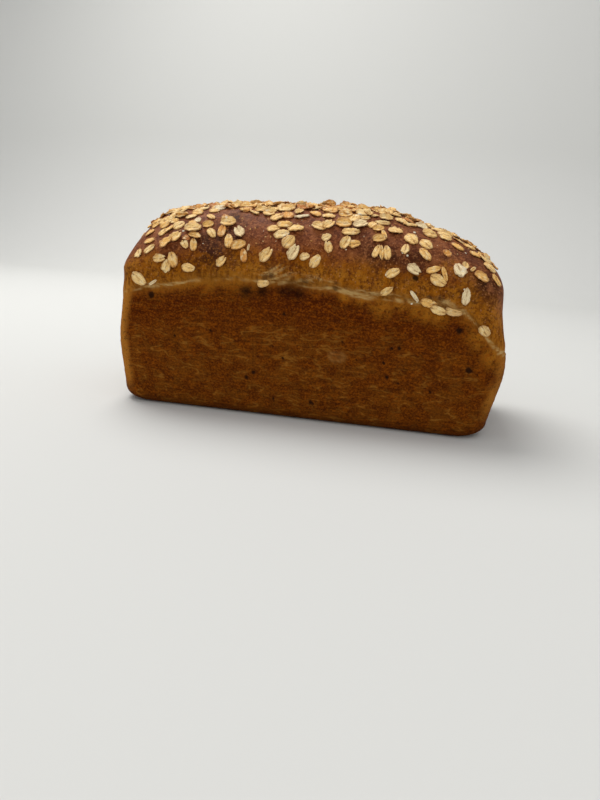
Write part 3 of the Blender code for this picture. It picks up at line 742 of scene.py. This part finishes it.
# Flakes that show one by one on the front: column and row in the picture, turn from the level in
# degrees, length in millimetres, kind and shade
FRONT_FLAKES = (
    (138.8, 279.1, -40, 10.0, OVAL, PALE), (152.9, 282.5, 30, 6.0, SLIVER, FLOURY),
    (188.3, 267.7, -10, 8.3, OVAL, HONEY), (166.0, 267.0, 75, 9.5, BROKEN, HONEY),
    (172.3, 259.0, 105, 9.5, OVAL, GOLD), (159.7, 258.5, 2, 8.0, SPLIT, HONEY),
    (149.2, 248.4, 40, 7.5, NARROW, PALE), (138.2, 253.2, 95, 7.5, BROKEN, PALE),
    (149.2, 240.4, 5, 7.5, NARROW, GOLD), (149.9, 232.1, 20, 6.5, ROUND, GOLD),
    (221.5, 261.2, 50, 7.5, SPLIT, HONEY), (243.5, 255.1, 97, 8.5, NARROW, BROWNED),
    (248.1, 247.1, 80, 4.5, SLIVER, FLOURY), (238.7, 245.2, 15, 9.5, CUPPED, GOLD),
    (228.5, 240.6, 92, 9.8, NARROW, GOLD), (239.2, 231.4, 120, 9.0, SPLIT, FLOURY),
    (221.8, 230.4, 82, 9.3, NARROW, BROWNED), (211.5, 232.7, -58, 7.8, OVAL, HONEY),
    (208.4, 224.3, 12, 7.0, CUPPED, GOLD), (228.8, 222.1, -8, 10.0, CUPPED, HONEY),
    (224.0, 216.2, 5, 5.5, BROKEN, TOASTED), (211.1, 216.2, -35, 6.5, NARROW, HONEY),
    (197.7, 219.5, -20, 4.5, ROUND, FLOURY), (193.2, 228.4, 3, 10.5, CUPPED, HONEY),
    (178.9, 224.8, 35, 8.0, OVAL, PALE), (168.7, 228.4, 40, 7.0, NARROW, GOLD),
    (162.9, 231.5, 48, 6.5, NARROW, HONEY), (164.6, 224.4, 30, 6.5, NARROW, GOLD),
    (155.7, 224.4, 38, 5.5, NARROW, GOLD), (194.6, 235.8, -18, 8.0, CUPPED, GOLD),
    (193.3, 244.2, 93, 8.3, NARROW, GOLD), (184.2, 243.3, -62, 7.0, BROKEN, HONEY),
    (185.5, 237.0, -25, 6.0, BROKEN, TOASTED), (176.0, 236.3, 55, 8.3, SPLIT, HONEY),
    (166.8, 242.0, 52, 9.5, SPLIT, GOLD), (170.0, 217.7, 20, 7.5, NARROW, HONEY),
    (174.5, 220.2, 5, 6.0, NARROW, GOLD), (182.5, 214.1, 28, 7.5, OVAL, HONEY),
    (191.4, 215.9, 20, 7.0, NARROW, PALE), (197.9, 211.6, -8, 7.5, OVAL, GOLD),
    (198.6, 206.1, 8, 7.5, BROKEN, BROWNED), (191.4, 222.6, 25, 6.0, BROKEN, GOLD),
    (216.0, 201.5, 60, 7.5, ROUND, TOASTED), (231.2, 200.6, 85, 7.0, ROUND, BROWNED),
    (220.3, 207.0, 10, 7.0, NARROW, FLOURY), (214.6, 210.0, 5, 6.5, NARROW, HONEY),
    (208.2, 204.9, -50, 5.0, BROKEN, PALE), (237.9, 204.7, -15, 8.0, SPLIT, PALE),
    (247.0, 202.0, 10, 8.5, OVAL, GOLD), (244.6, 208.8, -3, 6.5, SLIVER, GOLD),
    (266.6, 254.8, 53, 10.0, SPLIT, HONEY), (294.0, 252.2, 65, 10.0, SPLIT, FLOURY),
    (304.8, 256.5, 10, 5.8, ROUND, PALE), (315.2, 260.8, 55, 8.5, OVAL, HONEY),
    (263.3, 283.1, -3, 7.0, ROUND, HONEY), (288.9, 241.2, 50, 8.8, ROUND, HONEY),
    (282.0, 233.8, 14, 9.3, OVAL, PALE), (273.8, 228.1, 8, 7.8, OVAL, HONEY),
    (296.1, 228.0, 3, 9.5, OVAL, HONEY), (284.8, 223.9, 0, 9.0, NARROW, GOLD),
    (288.0, 214.5, 70, 8.0, ROUND, BROWNED), (277.8, 216.4, 35, 9.0, OVAL, HONEY),
    (270.3, 212.0, -15, 8.5, SPLIT, HONEY), (285.2, 208.7, 0, 8.0, NARROW, PALE),
    (300.9, 206.8, 30, 7.5, BROKEN, TOASTED), (309.7, 203.6, 5, 6.0, NARROW, BROWNED),
    (294.7, 203.6, 0, 7.0, NARROW, HONEY), (286.4, 203.6, 5, 6.0, NARROW, GOLD),
    (278.0, 203.6, 0, 5.0, BROKEN, GOLD), (269.0, 203.6, 0, 8.0, CUPPED, GOLD),
    (302.2, 216.0, 8, 9.0, SLIVER, FLOURY), (258.5, 204.0, 0, 4.0, BROKEN, HONEY),
    (319.2, 226.8, -22, 9.0, CUPPED, HONEY), (329.1, 224.3, 42, 8.5, SPLIT, HONEY),
    (329.1, 215.6, -8, 8.0, OVAL, HONEY), (326.7, 236.8, 30, 5.8, ROUND, PALE),
    (327.9, 246.7, 95, 7.8, SPLIT, HONEY), (345.7, 242.6, 62, 9.0, CUPPED, HONEY),
    (353.6, 243.8, 10, 8.0, BROKEN, GOLD), (351.1, 231.4, -2, 10.0, NARROW, HONEY),
    (344.1, 223.5, -10, 9.5, CUPPED, GOLD), (346.0, 214.6, 15, 8.5, CUPPED, GOLD),
    (353.5, 217.5, 70, 9.0, ROUND, HONEY), (361.1, 224.3, 15, 9.0, SPLIT, FLOURY),
    (363.5, 211.9, 0, 8.5, NARROW, PALE), (363.5, 217.7, 0, 8.5, SLIVER, GOLD),
    (362.7, 206.5, -3, 8.5, OVAL, GOLD), (340.3, 209.0, 0, 8.0, CUPPED, BROWNED),
    (328.3, 209.4, -5, 6.5, NARROW, GOLD), (320.0, 207.8, 80, 5.5, BROKEN, PALE),
    (338.3, 204.6, 5, 6.5, NARROW, GOLD), (351.1, 205.0, 8, 8.5, NARROW, GOLD),
    (347.8, 202.5, 12, 6.5, SLIVER, TOASTED), (332.9, 204.0, 0, 5.0, BROKEN, BROWNED),
    (377.2, 204.6, 0, 8.5, SLIVER, TOASTED), (377.2, 208.6, 5, 6.0, BROKEN, GOLD),
    (385.5, 212.0, -8, 8.5, OVAL, HONEY), (394.5, 214.3, -12, 8.5, NARROW, HONEY),
    (374.4, 215.0, 10, 5.5, BROKEN, HONEY), (372.4, 224.5, 62, 7.5, BROKEN, HONEY),
    (378.7, 228.4, 10, 7.0, CUPPED, GOLD), (383.0, 222.6, -4, 9.0, SLIVER, PALE),
    (384.4, 234.1, -75, 7.5, SLIVER, GOLD), (395.9, 230.3, -12, 8.2, ROUND, HONEY),
    (402.1, 220.7, -20, 8.0, OVAL, HONEY), (409.8, 218.2, -10, 6.0, NARROW, HONEY),
    (410.7, 224.5, -2, 9.0, SLIVER, HONEY), (422.2, 226.8, -22, 8.0, SPLIT, FLOURY),
    (421.2, 223.4, -25, 8.0, NARROW, PALE), (430.5, 233.3, 3, 9.5, OVAL, HONEY),
    (441.0, 231.6, 5, 9.0, NARROW, HONEY), (436.5, 228.6, 0, 8.0, SLIVER, GOLD),
    (446.1, 237.5, -12, 7.5, NARROW, HONEY), (379.6, 238.4, 5, 7.8, CUPPED, GOLD),
    (376.7, 250.9, 66, 8.0, NARROW, HONEY), (381.5, 252.3, -88, 9.0, SLIVER, GOLD),
    (387.2, 252.3, 94, 8.8, NARROW, HONEY), (411.7, 238.9, -55, 9.5, OVAL, HONEY),
    (426.5, 244.2, -48, 8.5, OVAL, HONEY), (425.6, 254.2, -57, 9.3, NARROW, GOLD),
    (405.5, 249.4, 75, 7.5, BROKEN, PALE), (448.0, 252.8, 30, 5.5, ROUND, BROWNED),
    (458.1, 246.5, -42, 8.0, NARROW, GOLD), (469.6, 246.6, -15, 8.5, NARROW, GOLD),
    (459.5, 240.8, -40, 8.0, NARROW, GOLD), (480.0, 250.5, 88, 6.0, SLIVER, GOLD),
    (476.3, 254.4, -10, 8.5, NARROW, GOLD), (485.3, 259.5, -55, 8.5, NARROW, HONEY),
    (490.3, 267.5, -50, 8.5, OVAL, HONEY), (497.0, 280.3, -65, 8.5, SLIVER, GOLD),
    (460.2, 270.9, 105, 10.4, BROKEN, FLOURY), (465.3, 265.2, 65, 5.8, CUPPED, HONEY),
    (473.4, 268.6, 38, 5.5, SLIVER, HONEY), (481.5, 277.6, -30, 8.8, CUPPED, GOLD),
    (393.0, 272.9, 25, 8.3, OVAL, HONEY), (414.1, 270.0, -38, 8.5, SPLIT, FLOURY),
    (433.7, 269.5, 15, 7.8, NARROW, GOLD), (444.7, 274.3, -75, 8.5, SLIVER, GOLD),
    (438.5, 280.5, -33, 9.5, OVAL, HONEY), (386.7, 291.4, 28, 8.0, NARROW, HONEY),
    (414.5, 296.6, -52, 7.5, SLIVER, FLOURY), (429.1, 303.5, -15, 9.5, NARROW, GOLD),
    (438.9, 310.5, -22, 9.0, NARROW, PALE), (454.3, 311.5, -10, 9.0, ROUND, PALE),
    (466.2, 296.5, 86, 9.0, NARROW, FLOURY), (484.7, 331.7, -50, 7.5, ROUND, PALE))


def oat_kind(number, chance):
    """One kind of rolled oat: a grid rounded to an oval, creased, curled, split or broken."""
    length_cells, width_cells = FLAKE_CELLS
    shape = bmesh.new()
    bmesh.ops.create_grid(shape, x_segments=length_cells, y_segments=width_cells, size=1.0)
    curl = {CUPPED: 0.22, SPLIT: 0.20, SLIVER: 0.08}.get(number, 0.05)
    narrow = {NARROW: 0.82, ROUND: 1.32, SLIVER: 0.46}.get(number, 1.0)
    notch = {OVAL: 0.10, BROKEN: 0.05, SPLIT: 0.42}.get(number, 0.06)
    drift = chance.uniform(0.0, 50.0)
    for vert in shape.verts:
        u, v = vert.co.x, vert.co.y
        x = u * math.sqrt(1.0 - v * v / 2)
        y = v * math.sqrt(1.0 - u * u / 2)
        rim = max(abs(u), abs(v))
        bite = notch * max(0.0, u) ** 3 * math.exp(-(v / 0.35) ** 2)
        broken = 0.35 if number == BROKEN and u < -0.6 else 0.0
        ragged = noise.noise(Vector((x * 2.6 + drift, y * 2.6, 0.0))) * rim
        x = x * (1.0 + 0.14 * ragged) - bite + broken * abs(u)
        y = y * narrow * (1.0 - 0.16 * x) * (1.0 + 0.16 * ragged)
        crease = -0.15 * math.exp(-(v / 0.24) ** 2) * (1.0 - 0.6 * u * u)
        crumple = 0.15 * noise.noise(Vector((x * 2.2, y * 4.5 + drift, 5.0)))
        bend = curl * (x * x * 0.8 + y * y * 1.4) + crumple
        vert.co = Vector((x / 2, y / 2, (crease + bend + 0.06 * (1.0 - rim)) / 2))
    raised = bmesh.ops.extrude_face_region(shape, geom=shape.faces[:], use_keep_orig=True)["geom"]
    upper = [item for item in raised if isinstance(item, bmesh.types.BMVert)]
    for vert in upper:
        vert.co.z += FLAKE_THICKNESS * (1.0 - 1.4 * vert.co.to_2d().length_squared)
    bmesh.ops.recalc_face_normals(shape, faces=shape.faces)
    mesh = mesh_of(shape, f"oat_kind_{number}")
    places = values_of(mesh.vertices, "co")
    local = mesh.attributes.new("flake_place", "FLOAT_VECTOR", "POINT")
    local.data.foreach_set("vector", places.astype(np.float32).ravel())
    mesh.shade_smooth()
    return mesh


def drawn_flake(chance):
    """All that chance decides about one flake: where it fell, its size and how it lies."""
    return {"along": chance.uniform(-1.0, 1.0),
            "lean": chance.uniform(-FARTHEST_LEAN, FARTHEST_LEAN),
            "luck": chance.random(),
            "length": chance.uniform(*FLAKE_LENGTH),
            "width_share": chance.uniform(*FLAKE_WIDTH_SHARE),
            "turn": chance.uniform(0.0, math.tau),
            "tilt": math.radians(chance.uniform(0.0, FLAKE_TILT)),
            "edge": chance.random()}


def faces_view(place, outward):
    """How squarely a place faces the camera: 1 when full on, 0 along the crest, less behind it."""
    return (CAMERA_PLACE - place).normalized().dot(outward)


def fallen_flakes(chance, count, gap, chosen, coverage):
    """Flakes that fell by chance: thick on the crown, thinning down its slopes, a gap apart."""
    wanted = len(chosen) + count
    while len(chosen) < wanted:
        flake = drawn_flake(chance)
        x = flake["along"] * (right_reach if flake["along"] > 0.0 else left_reach)
        core = Vector((min(max(x, -CORE_HALF_LENGTH), CORE_HALF_LENGTH), 0.0, CORE_HEIGHT))
        lean = flake["lean"]
        aim = Vector((x - core.x, BASE_WIDTH / 2 * math.sin(lean), BASE_WIDTH / 2 * math.cos(lean)))
        place, outward, _, _ = crust_surface.ray_cast(core, aim.normalized())
        if flake["luck"] > coverage(place, outward):
            continue
        if (place - BARE_SPOT).length < BARE_SPOT_RADIUS:
            continue
        if any((place - other["place"]).length < gap for other in chosen):
            continue
        if flake["edge"] < EDGE_FLAKE_SHARE and outward.z > EDGE_FLAKE_SLOPE:
            flake["tilt"] = math.radians(EDGE_FLAKE_TILT)
        flake.update(place=place, outward=outward, fill=gap == FILL_GAP)
        flake["kind"] = int(flake["edge"] * 997) % KIND_COUNT
        chosen.append(flake)
    return chosen


def main_coverage(place, outward):
    return smooth_step(BARE_BELOW, COVERED_ABOVE, place.z)


def fill_coverage(place, outward):
    """Fill flakes gather in clumps, and thin out on the front where each flake is placed."""
    clump = 0.6 + 0.4 * math.sin(place.x * 75.0 + 1.0) * math.cos(place.y * 90.0 + place.x * 40.0)
    hidden = smooth_step(NEARLY_PLAIN_SIGHT, GRAZING_SIGHT, faces_view(place, outward))
    right_share = 1.0 - FILL_THINNING * smooth_step(*FILL_THINS, place.x)
    return smooth_step(FILL_BARE_BELOW, FILL_COVERED_ABOVE, place.z) * clump * hidden * right_share


crust_surface = surface_through([v.co for v in crust_mesh.vertices])
chance = random.Random(FLAKE_SEED)
flakes = fallen_flakes(chance, MAIN_FLAKES, FLAKE_GAP, [], main_coverage)
flakes = fallen_flakes(chance, FILL_FLAKES, FILL_GAP, flakes, fill_coverage)
flakes = [flake for flake in flakes
          if flake["fill"] or faces_view(flake["place"], flake["outward"]) < GRAZING_SIGHT]
for column, row, turn, length, kind, shade in FRONT_FLAKES:
    place, outward = seen_on(crust_surface, column, row)
    while place is None:
        row += 1.0
        place, outward = seen_on(crust_surface, column, row)
    pointing = camera_right * math.cos(math.radians(turn)) + camera_up * math.sin(math.radians(turn))
    facing = (outward - look * PROPPING * smooth_step(0.6, 0.1, -look.dot(outward))).normalized()
    sight = sight_line(column, row)
    squareness = max(-sight.dot(outward), LEAST_SQUARENESS)
    widened = 1.0 + GRAZING_GROWTH * smooth_step(0.8, LEAST_SQUARENESS, squareness)
    flakes.append({"place": place - outward * FLAKE_BODY_RISE - sight * (FLAKE_BODY_RISE / squareness),
                   "outward": facing, "lifting": -sight / squareness, "pointing": pointing,
                   "length": length * FLAKE_GROWTH / 1000, "width_share": FRONT_WIDTH_SHARE * widened,
                   "tilt": math.radians(chance.uniform(-FLAKE_TILT, FLAKE_TILT)),
                   "kind": kind, "shade": shade})

kinds = bpy.data.collections.new("oat kinds")
kind_shapes = [oat_kind(number, random.Random(KIND_SEED + number)) for number in range(KIND_COUNT)]
for kind_shape in kind_shapes:
    kinds.objects.link(bpy.data.objects.new(kind_shape.name, kind_shape))


def gap_below(kind_shape, place, lie, reach):
    """How far the lowest point of a flake lying at a place is above the crust."""
    heights = []
    for vert in kind_shape.vertices:
        point = place + lie @ (vert.co * reach)
        nearest, outward, _, _ = crust_surface.find_nearest(point)
        heights.append((point - nearest).dot(outward))
    return min(heights)


lie_angles, sizes, places, tones, laid = [], [], [], [], []
for flake in flakes:
    outward = flake["outward"]
    if "pointing" in flake:
        along = flake["pointing"]
        along = (along - look * (along.dot(outward) / look.dot(outward))).normalized()
        lie = Matrix((along, outward.cross(along), outward)).transposed()
    else:
        lie = outward.to_track_quat("Z", "Y").to_matrix() @ Matrix.Rotation(flake["turn"], 3, "Z")
    near_by = sum(1 for other in laid if (other - flake["place"]).length < PILE_REACH)
    under = min(near_by, MOST_UNDER)
    laid.append(flake["place"])
    width = flake["length"] * flake["width_share"]
    reach = Vector((flake["length"], width, flake["length"]))
    lift = LYING_RISE + PILE_RISE * under + math.sin(abs(flake["tilt"])) * width / 6
    lie = lie @ Matrix.Rotation(flake["tilt"] + PILE_TILT * under, 3, "X")
    lifting = flake.get("lifting", outward)
    place = flake["place"] + lifting * lift
    gap = gap_below(kind_shapes[flake["kind"]], place, lie, reach)
    places.append(place - lifting * max(0.0, gap - PILE_GAP * under + FLAKE_SINK))
    lie_angles.append(tuple(lie.to_euler()))
    sizes.append(tuple(reach))
    shade = flake.get("shade", chance.triangular(0.0, 1.0, HONEY))
    tones.append(shade + chance.uniform(-TONE_SPREAD, TONE_SPREAD))


def shape_tree(name, inputs):
    """An empty node tree that takes a shape and the named inputs, and gives a shape back."""
    tree = bpy.data.node_groups.new(name, "GeometryNodeTree")
    for label, kind in (("Geometry", "Geometry"),) + inputs:
        tree.interface.new_socket(label, in_out="INPUT", socket_type="NodeSocket" + kind)
    tree.interface.new_socket("Geometry", in_out="OUTPUT", socket_type="NodeSocketGeometry")
    return tree, add(tree, "NodeGroupInput", {}).outputs


def give_back(tree, copies, finish):
    """Makes real faces of the laid copies, gives them their finish and hands them out."""
    real = add(tree, "GeometryNodeRealizeInstances", {"Geometry": copies})
    dressed = add(tree, "GeometryNodeSetMaterial",
                  {"Geometry": real.outputs["Geometry"], "Material": finish})
    add(tree, "NodeGroupOutput", {"Geometry": dressed.outputs["Geometry"]})


def point_measure(tree, name, kind):
    made = add(tree, "GeometryNodeInputNamedAttribute", {"Name": name}, data_type=kind)
    return made.outputs["Attribute"]


def lay_flakes_tree():
    """Puts one flake kind on each point, turned and sized by the point's own measures."""
    tree, given = shape_tree("lay flakes", (("Flake Kinds", "Collection"), ("Flake Size", "Float"),
                                            ("Flake Finish", "Material")))
    turn = add(tree, "FunctionNodeEulerToRotation", {"Euler": point_measure(tree, "lie", "FLOAT_VECTOR")})
    scale = add(tree, "ShaderNodeVectorMath", {0: point_measure(tree, "size", "FLOAT_VECTOR"),
                                               "Scale": given["Flake Size"]}, operation="SCALE")
    pool = add(tree, "GeometryNodeCollectionInfo",
               {"Collection": given["Flake Kinds"], "Separate Children": True, "Reset Children": True})
    laid = add(tree, "GeometryNodeInstanceOnPoints",
               {"Points": given["Geometry"], "Instance": pool.outputs[0], "Pick Instance": True,
                "Instance Index": point_measure(tree, "kind", "INT"), "Rotation": turn.outputs["Rotation"],
                "Scale": scale.outputs["Vector"]})
    give_back(tree, laid.outputs["Instances"], given["Flake Finish"])
    return tree


def made_by_nodes(name, start, tree, values):
    """The plain mesh that a node tree makes of a start mesh, its inputs set by their names."""
    worker = add_piece(name + "_start", start)
    modifier = worker.modifiers.new("nodes", "NODES")
    modifier.node_group = tree
    for item in tree.interface.items_tree:
        if item.in_out == "INPUT" and item.name in values:
            modifier[item.identifier] = values[item.name]
    graph = bpy.context.evaluated_depsgraph_get()
    mesh = bpy.data.meshes.new_from_object(worker.evaluated_get(graph), depsgraph=graph)
    bpy.data.objects.remove(worker)
    mesh.name = name
    return mesh


flake_points = bpy.data.meshes.new("flake points")
flake_points.from_pydata(places, [], [])
for name, kind, field, values in (("lie", "FLOAT_VECTOR", "vector", lie_angles),
                                  ("size", "FLOAT_VECTOR", "vector", sizes),
                                  ("kind", "INT", "value", [flake["kind"] for flake in flakes]),
                                  ("tone", "FLOAT", "value", tones)):
    attribute = flake_points.attributes.new(name, kind, "POINT")
    attribute.data.foreach_set(field, np.array(values).ravel())

rolled_oats, tree, shader = new_finish("rolled_oats")
tone = measure(tree, "tone")
flake_place = measure(tree, "flake_place", "Vector")
place = add(tree, "ShaderNodeTexCoord", {}).outputs["Object"]
toasting = ramp_of(tone, (
    (0.00, tint(240, 226, 194)), (0.08, tint(246, 212, 146)), (0.50, tint(244, 194, 110)),
    (0.80, tint(226, 160, 76)), (0.95, tint(192, 114, 44)), (1.00, tint(170, 90, 32))))
bran = noise_of(stretched_place(flake_place, (5, 22, 5)), 1.0, 4, 0.6)
# Pale cream patches on the flakes: painted highlight
mottle = noise_of(place, 420, 4, 0.6)
off_crease = math_of("ABSOLUTE", add(tree, "ShaderNodeSeparateXYZ", {"Vector": flake_place}).outputs[1])
drift = ranged(noise_of(place, 260, 3), 0.3, 0.7, -0.05, 0.08)
# Painted shade: the flakes darken along the crease down their middle, where shade falls
painted_crease_shade = ranged(sum_of(off_crease, drift), 0.11, 0.0)
off_middle = add(tree, "ShaderNodeVectorMath", {0: flake_place}, operation="LENGTH").outputs["Value"]
rim = ranged(product_of(off_middle, 2.0), 0.70, 1.0)
flour = noise_of(place, 130, 3, 0.6)
colour = layered(
    toasting,
    (tint(150, 98, 42), ranged(bran, 0.50, 0.66, 0.0, 0.66)),
    # Painted highlight: pale cream patches on the flakes
    (tint(252, 232, 180), ranged(mottle, 0.46, 0.66, 0.0, 0.6)),
    # Painted shade along each flake's crease
    (tint(140, 84, 28), painted_crease_shade, ranged(bran, 0.38, 0.58, 0.10, 0.80)),
    (tint(166, 102, 42), rim, ranged(tone, 0.2, 1.0, 0.35, 0.9)),
    (tint(236, 228, 208), ranged(flour, 0.66, 0.74, 0.0, 0.75)))
set_inputs(shader, {"Base Color": colour, "Roughness": 0.72, "Specular IOR Level": 0.3,
                    "Normal": bumps_of(bran, 0.4, 0.0003)})

oat_mesh = made_by_nodes("oat_flakes", flake_points, lay_flakes_tree(),
                         {"Flake Kinds": kinds, "Flake Size": 1.0, "Flake Finish": rolled_oats})
for kind_piece in list(kinds.objects):
    bpy.data.objects.remove(kind_piece)
bpy.data.collections.remove(kinds)
oat_flakes = add_piece("oat_flakes", oat_mesh)
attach(oat_flakes, "root")


# The oat crumbs: chips of broken flake, slivers of husk and grains of oat flour that came off the
# flakes and baked on to the crown between them.
CRUMB_SPACING = 0.0030
CRUMB_DENSITY = 52000.0
CRUMB_SIZE = (0.0007, 0.0021)
CRUMB_SEED = 9
CRUMBS_FROM = 0.100
CRUMBS_FULL = 0.124

# Lumps of oat flour that show on the front: column and row in the picture, width in millimetres
FLOUR_LUMPS = ((414.7, 232.7, 1.9), (465.7, 253.2, 1.3), (403.0, 252.5, 2.0), (407.5, 255.5, 1.6),
               (346.0, 249.5, 1.1), (317.0, 221.5, 1.1), (200.0, 229.0, 1.1), (183.5, 231.0, 2.0),
               (411.8, 303.6, 1.6), (417.0, 302.0, 1.2), (464.5, 289.5, 1.3), (203.0, 243.5, 0.9))


def crumb_shape():
    """One chip: a flattened, slightly uneven grain with few faces."""
    chip = bmesh.new()
    bmesh.ops.create_icosphere(chip, subdivisions=1, radius=0.5)
    for vert in chip.verts:
        uneven = 1.0 + 0.3 * noise.noise(vert.co * 3.0)
        vert.co = Vector((vert.co.x * uneven, vert.co.y * 0.62 * uneven, vert.co.z * 0.32))
    mesh = mesh_of(chip, "crumb_shape")
    mesh.shade_smooth()
    return mesh


def luck_of(tree, seed, least, most):
    """A number between two others that is drawn anew for each point."""
    inputs = {2: least, 3: most, "Seed": seed}
    return add(tree, "FunctionNodeRandomValue", inputs, data_type="FLOAT").outputs[1]


def scatter_crumbs_tree():
    """Strews one shape over a surface where its crumb measure allows, each turned and sized anew."""
    tree, given = shape_tree("scatter crumbs", (
        ("Crumb", "Object"), ("Spacing", "Float"), ("Density", "Float"), ("Smallest", "Float"),
        ("Largest", "Float"), ("Seed", "Int"), ("Crumb Finish", "Material")))
    strewn = add(tree, "GeometryNodeDistributePointsOnFaces",
                 {"Mesh": given["Geometry"], "Distance Min": given["Spacing"],
                  "Density Max": given["Density"], "Seed": given["Seed"],
                  "Density Factor": point_measure(tree, "crumbs", "FLOAT")},
                 distribute_method="POISSON")
    turn = luck_of(tree, given["Seed"], 0.0, math.tau)
    spin = add(tree, "FunctionNodeAxisAngleToRotation", {"Axis": (0.0, 0.0, 1.0), "Angle": turn})
    spun = add(tree, "FunctionNodeRotateRotation",
               {"Rotation": strewn.outputs["Rotation"], "Rotate By": spin.outputs["Rotation"]},
               rotation_space="LOCAL")
    crumb = add(tree, "GeometryNodeObjectInfo", {"Object": given["Crumb"]})
    laid = add(tree, "GeometryNodeInstanceOnPoints",
               {"Points": strewn.outputs["Points"], "Instance": crumb.outputs["Geometry"],
                "Rotation": spun.outputs["Rotation"],
                "Scale": luck_of(tree, given["Seed"], given["Smallest"], given["Largest"])})
    toned = add(tree, "GeometryNodeStoreNamedAttribute",
                {"Geometry": laid.outputs["Instances"], "Name": "tone",
                 "Value": luck_of(tree, given["Seed"], 0.0, 1.0)},
                data_type="FLOAT", domain="INSTANCE")
    give_back(tree, toned.outputs["Geometry"], given["Crumb Finish"])
    return tree


oat_crumb, tree, shader = new_finish("oat_crumb")
colour = ramp_of(measure(tree, "tone"), (
    (0.0, tint(226, 216, 190)), (0.25, tint(220, 188, 130)), (0.7, tint(200, 152, 86)),
    (1.0, tint(160, 100, 46))))
set_inputs(shader, {"Base Color": colour, "Roughness": 0.8, "Specular IOR Level": 0.2})

crown_surface = crust_mesh.copy()
crumb_clumps = 0.5 + 0.5 * noise_at(plain, (55, 55, 55), 61.0)
store(crown_surface, "crumbs", smooth_step(CRUMBS_FROM, CRUMBS_FULL, plain[:, 2]) * crumb_clumps)
crumb = add_piece("crumb", crumb_shape())
crumb_mesh = made_by_nodes("oat_crumbs", crown_surface, scatter_crumbs_tree(),
                           {"Crumb": crumb, "Spacing": CRUMB_SPACING, "Density": CRUMB_DENSITY,
                            "Smallest": CRUMB_SIZE[0], "Largest": CRUMB_SIZE[1], "Seed": CRUMB_SEED,
                            "Crumb Finish": oat_crumb})
crumb_mesh.materials.clear()
crumb_mesh.materials.append(oat_crumb)

lumps = bmesh.new()
lumps.from_mesh(crumb_mesh)
lump_tone = lumps.verts.layers.float["tone"]
for column, row, width in FLOUR_LUMPS:
    place, outward = seen_on(crust_surface, column, row)
    made = bmesh.ops.create_icosphere(lumps, subdivisions=1, radius=0.5)["verts"]
    for vert in made:
        vert.co = vert.co * (1.0 + 0.5 * noise.noise(vert.co * 3.0 + Vector((column, row, 0.0))))
        vert.co.z = vert.co.z * 0.55
        vert.co = place + outward.to_track_quat("Z", "Y") @ (vert.co * width / 1000)
        vert[lump_tone] = 0.0
lumps.to_mesh(crumb_mesh)
lumps.free()
crumb_mesh.shade_smooth()
bpy.data.objects.remove(crumb)
oat_crumbs = add_piece("oat_crumbs", crumb_mesh)
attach(oat_crumbs, "root")


# The studio: a pale paper sweep under and behind the loaf, lit by one large soft lamp above and
# behind its left end, a weaker one in front, and even pale light from all round.
FLOOR_REACH = 1.6
SWEEP_BACK = 0.9
SWEEP_RADIUS = 0.35
SWEEP_HEIGHT = 1.8
SWEEP_HALF_WIDTH = 2.4
BEND_STEPS = 16
FLOOR_GAP = 0.0003
WORLD_TINT = (0.93, 0.94, 0.95, 1.0)
WORLD_STRENGTH = 0.55

sweep = bmesh.new()
outline = [(-FLOOR_REACH, 0.0)]
for step in range(BEND_STEPS + 1):
    angle = math.pi / 2 * step / BEND_STEPS
    outline.append((SWEEP_BACK + SWEEP_RADIUS * math.sin(angle), SWEEP_RADIUS * (1.0 - math.cos(angle))))
outline.append((SWEEP_BACK + SWEEP_RADIUS, SWEEP_HEIGHT))
rows = []
for y, z in outline:
    rows.append([sweep.verts.new((x, y, z - FLOOR_GAP)) for x in (-SWEEP_HALF_WIDTH, SWEEP_HALF_WIDTH)])
for near, far in zip(rows, rows[1:]):
    sweep.faces.new((near[0], near[1], far[1], far[0]))
sweep_mesh = mesh_of(sweep, "paper_sweep")
sweep_mesh.shade_smooth()
paper, tree, shader = new_finish("paper")
set_inputs(shader, {"Base Color": tint(213, 213, 210), "Roughness": 0.9})
sweep_mesh.materials.append(paper)
paper_sweep = add_piece("paper_sweep", sweep_mesh)


def soft_lamp(name, place, size, power, colour, aim=Vector((0.0, 0.0, 0.07))):
    data = bpy.data.lights.new(name, "AREA")
    data.shape = "DISK"
    data.size = size
    data.energy = power
    data.color = colour
    lamp = add_piece(name, data)
    lamp.location = place
    lamp.rotation_mode = "QUATERNION"
    lamp.rotation_quaternion = (aim - Vector(place)).to_track_quat("-Z", "Y")


soft_lamp("window", place=(-0.55, 0.45, 1.35), size=1.1, power=18.0, colour=(1.0, 0.99, 0.97))
soft_lamp("bounce", place=(0.3, -1.3, 0.9), size=1.2, power=4.0, colour=(1.0, 0.98, 0.96))
world = bpy.data.worlds.new("even light")
world.use_nodes = True
set_inputs(world.node_tree.nodes["Background"], {"Color": WORLD_TINT, "Strength": WORLD_STRENGTH})
bpy.context.scene.world = world
bpy.context.scene.view_settings.view_transform = "Standard"
